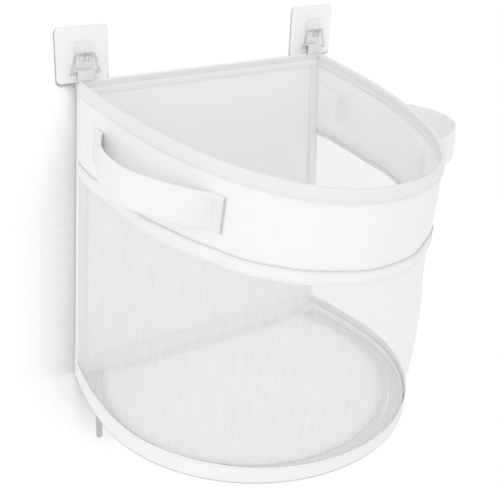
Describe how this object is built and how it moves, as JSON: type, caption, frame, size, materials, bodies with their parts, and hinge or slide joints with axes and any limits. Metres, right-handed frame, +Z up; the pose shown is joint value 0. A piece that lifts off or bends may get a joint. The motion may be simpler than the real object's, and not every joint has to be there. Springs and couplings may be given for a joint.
{
  "type": "bath toy organizer",
  "caption": "White fabric and net toy bag with a D-shaped mouth, side strap handles and a zipped drop floor, hung by rings on clear adhesive wall hooks.",
  "frame": {"origin": "on the wall, midway between the two hooks and level with their cradles", "axes": "+Z up, +Y into the wall, +X to the right as seen from the room"},
  "size_m": [0.3954, 0.3306, 0.4438],
  "materials": {
    "fabric": "matt woven fabric",
    "binding_tape": "ribbed woven tape",
    "net": "fine open knit net",
    "zip_tape": "woven zip tape",
    "zip_coil": "satin nylon coil",
    "clear_plastic": "clear gloss",
    "steel": "nickel satin"
  },
  "bodies": {
    "wall_hooks": {"left_adhesive": "clear_plastic", "left_pad": "clear_plastic", "left_hook": "clear_plastic", "right_adhesive": "clear_plastic", "right_pad": "clear_plastic", "right_hook": "clear_plastic"},
    "bag": {"band": "fabric", "rim_binding": "binding_tape", "rim_wire": "steel", "waist_binding": "binding_tape", "net_wall": "net", "floor_binding": "binding_tape", "back_panel": "fabric", "back_top_binding": "binding_tape", "back_rod": "steel", "back_hem": "binding_tape", "left_side_tape": "binding_tape", "right_side_tape": "binding_tape", "left_handle_back_end": "fabric", "left_handle_front_end": "fabric", "right_handle_back_end": "fabric", "right_handle_front_end": "fabric", "left_tab": "binding_tape", "right_tab": "binding_tape", "zip_tape_fixed": "zip_tape", "zip_coil_fixed": "zip_coil", "left_zip_stop": "steel", "right_zip_stop": "steel"},
    "left_ring": {"left_ring": "clear_plastic"},
    "right_ring": {"right_ring": "clear_plastic"},
    "left_handle": {"left_handle_grip": "fabric"},
    "right_handle": {"right_handle_grip": "fabric"},
    "floor_flap": {"floor_panel": "fabric", "floor_hinge_strip": "binding_tape", "zip_tape_flap": "zip_tape", "zip_coil_flap": "zip_coil"},
    "zip_slider": {"zip_slider": "steel"},
    "zip_pull": {"zip_pull": "steel"}
  },
  "joints": [
    {"name": "bag_lift", "type": "slide", "parent": "wall_hooks", "child": "bag", "axis": [0, -0.7071, 0.7071], "range_m": [0, 0.06]},
    {"name": "left_ring_swing", "type": "hinge", "parent": "bag", "child": "left_ring", "pos_m": [-0.143, -0.008, -0.0172], "axis": [1, 0, 0], "range_deg": [-4, 4]},
    {"name": "right_ring_swing", "type": "hinge", "parent": "bag", "child": "right_ring", "pos_m": [0.143, -0.008, -0.0172], "axis": [1, 0, 0], "range_deg": [-4, 4]},
    {"name": "left_handle_lift", "type": "hinge", "parent": "bag", "child": "left_handle", "pos_m": [-0.12387, -0.22347, -0.07234], "axis": [-0.1791, 0.9813, 0.0701], "range_deg": [0, 50]},
    {"name": "right_handle_lift", "type": "hinge", "parent": "bag", "child": "right_handle", "pos_m": [0.15272, -0.06537, -0.06104], "axis": [-0.1791, -0.9813, -0.0701], "range_deg": [0, 50]},
    {"name": "zip_run", "type": "hinge", "parent": "bag", "child": "zip_slider", "pos_m": [0, -0.1024, -0.374], "axis": [0, 0, 1], "range_deg": [0, 200]},
    {"name": "floor_drop", "type": "hinge", "parent": "bag", "child": "floor_flap", "pos_m": [0, -0.0104, -0.3719], "axis": [1, 0, 0], "range_deg": [0, 75]},
    {"name": "zip_pull_swing", "type": "hinge", "parent": "zip_slider", "child": "zip_pull", "pos_m": [-0.17047, -0.07234, -0.3778], "axis": [-0.9848, 0.1736, 0], "range_deg": [-80, 80]}
  ],
  "couplings": [
    {"joint": "floor_drop", "follows": "zip_run", "ratio": 0.374}
  ]
}
